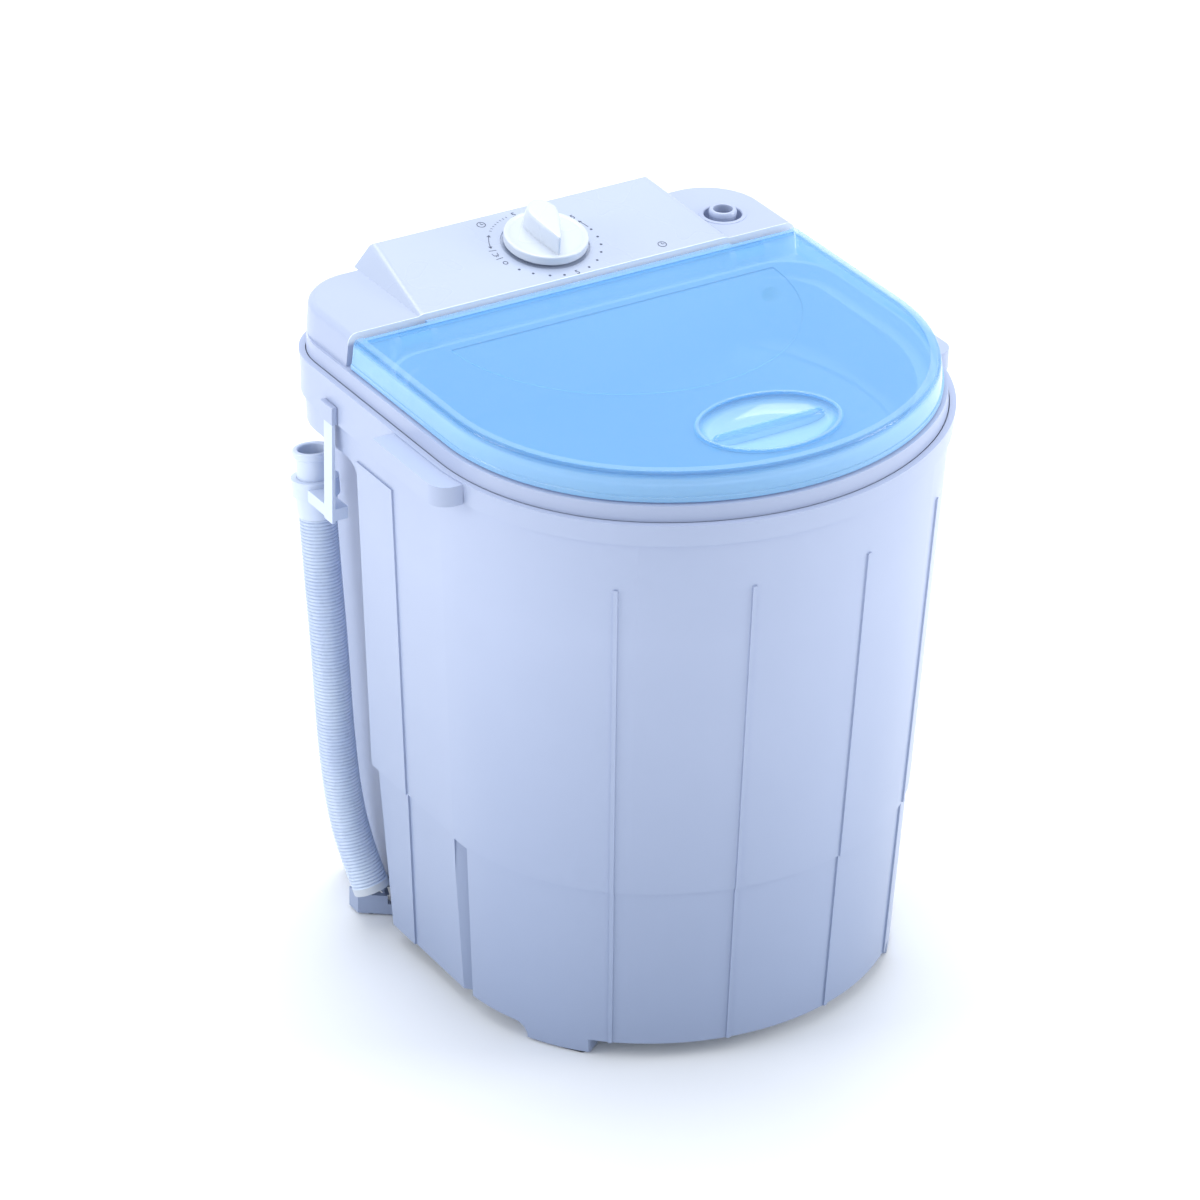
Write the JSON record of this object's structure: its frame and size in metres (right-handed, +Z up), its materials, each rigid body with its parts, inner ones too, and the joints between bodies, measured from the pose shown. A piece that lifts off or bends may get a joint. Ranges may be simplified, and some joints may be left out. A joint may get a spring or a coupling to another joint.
{
  "type": "top load washing machine",
  "caption": "Portable top load washer: D-shaped plastic body, hinged see-through lid, round tub with pulsator, timer knob on a sloped rear panel, side handles, side drain hose.",
  "frame": {"origin": "middle of the footprint of the whole machine, at floor level, under the feet", "axes": "+Z up; -Y the rounded front that the user stands at; +Y the flat back with the control panel; +X the side with the water inlet, -X the side with the drain hose"},
  "size_m": [0.368, 0.354, 0.4431],
  "materials": {
    "body_plastic": "smooth moulded, pale bluish white, slightly soft gloss",
    "panel_plastic": "smooth, pale bluish white with printed dial marks",
    "knob_plastic": "smooth off-white",
    "lid_clear": "see-through blue tinted plastic",
    "tub_plastic": "smooth moulded",
    "inner_plastic": "plain moulded, out of sight",
    "hose_plastic": "milky, finely corrugated",
    "feet_rubber": "black, matt",
    "seal_rubber": "dark, matt",
    "belt_rubber": "black, matt",
    "screw_steel": "zinc plated",
    "bearing_steel": "ground",
    "housing_alloy": "die cast",
    "motor_metal": "dark paint",
    "winding": "varnished copper wire"
  },
  "bodies": {
    "root": {"base_skirt": "body_plastic", "rubber_feet": "feet_rubber", "bottom_plate": "inner_plastic", "plate_screws": "screw_steel", "outer_cabinet": "body_plastic", "cabinet_screws": "screw_steel", "top_frame": "body_plastic", "frame_screws": "screw_steel", "hinge_lugs": "body_plastic", "hinge_pins": "screw_steel", "control_panel": "panel_plastic", "timer_body": "inner_plastic", "inlet_spigot": "body_plastic", "inlet_channel": "inner_plastic", "wash_tub": "tub_plastic", "drain_grate": "tub_plastic", "drain_pipe": "seal_rubber", "drain_elbow": "inner_plastic", "bearing_housing": "housing_alloy", "lower_bearing": "bearing_steel", "upper_bearing": "bearing_steel", "housing_screws": "screw_steel", "shaft_seal": "seal_rubber", "drive_belt": "belt_rubber", "motor_body": "motor_metal", "stator": "winding", "motor_bracket": "motor_metal", "motor_grommets": "seal_rubber", "motor_bolts": "screw_steel", "capacitor": "inner_plastic", "capacitor_clip": "motor_metal", "terminal_block": "inner_plastic", "cord_gland": "seal_rubber", "drain_hose": "hose_plastic", "hose_cuff": "hose_plastic", "hose_clip": "hose_plastic", "hose_hook": "body_plastic"},
    "lid": {"lid_shell": "lid_clear"},
    "knob": {"timer_knob": "knob_plastic", "timer_shaft": "knob_plastic"},
    "wash_drive": {"pulsator": "tub_plastic", "pulsator_screw": "screw_steel", "pulsator_cap": "tub_plastic", "drive_shaft": "bearing_steel", "large_pulley": "inner_plastic", "pulley_nut": "screw_steel"},
    "motor_rotor": {"motor_shaft": "bearing_steel", "rotor": "bearing_steel", "small_pulley": "housing_alloy", "cooling_fan": "inner_plastic"}
  },
  "joints": [
    {"name": "lid_hinge", "type": "hinge", "parent": "root", "child": "lid", "pos_m": [0, 0.088, 0.406], "axis": [-1, 0, 0], "range_deg": [0, 95]},
    {"name": "knob_turn", "type": "hinge", "parent": "root", "child": "knob", "pos_m": [0, 0.134, 0.42109], "axis": [0, -0.1624, 0.9867], "range_deg": [-166, 132]},
    {"name": "pulsator_spin", "type": "hinge", "parent": "root", "child": "wash_drive", "pos_m": [0, -0.013, 0.1], "axis": [0, 0, 1], "continuous": true},
    {"name": "motor_spin", "type": "hinge", "parent": "root", "child": "motor_rotor", "pos_m": [0, 0.085, 0.08], "axis": [0, 0, 1], "continuous": true}
  ],
  "couplings": [
    {"joint": "motor_spin", "follows": "pulsator_spin", "ratio": 5}
  ]
}
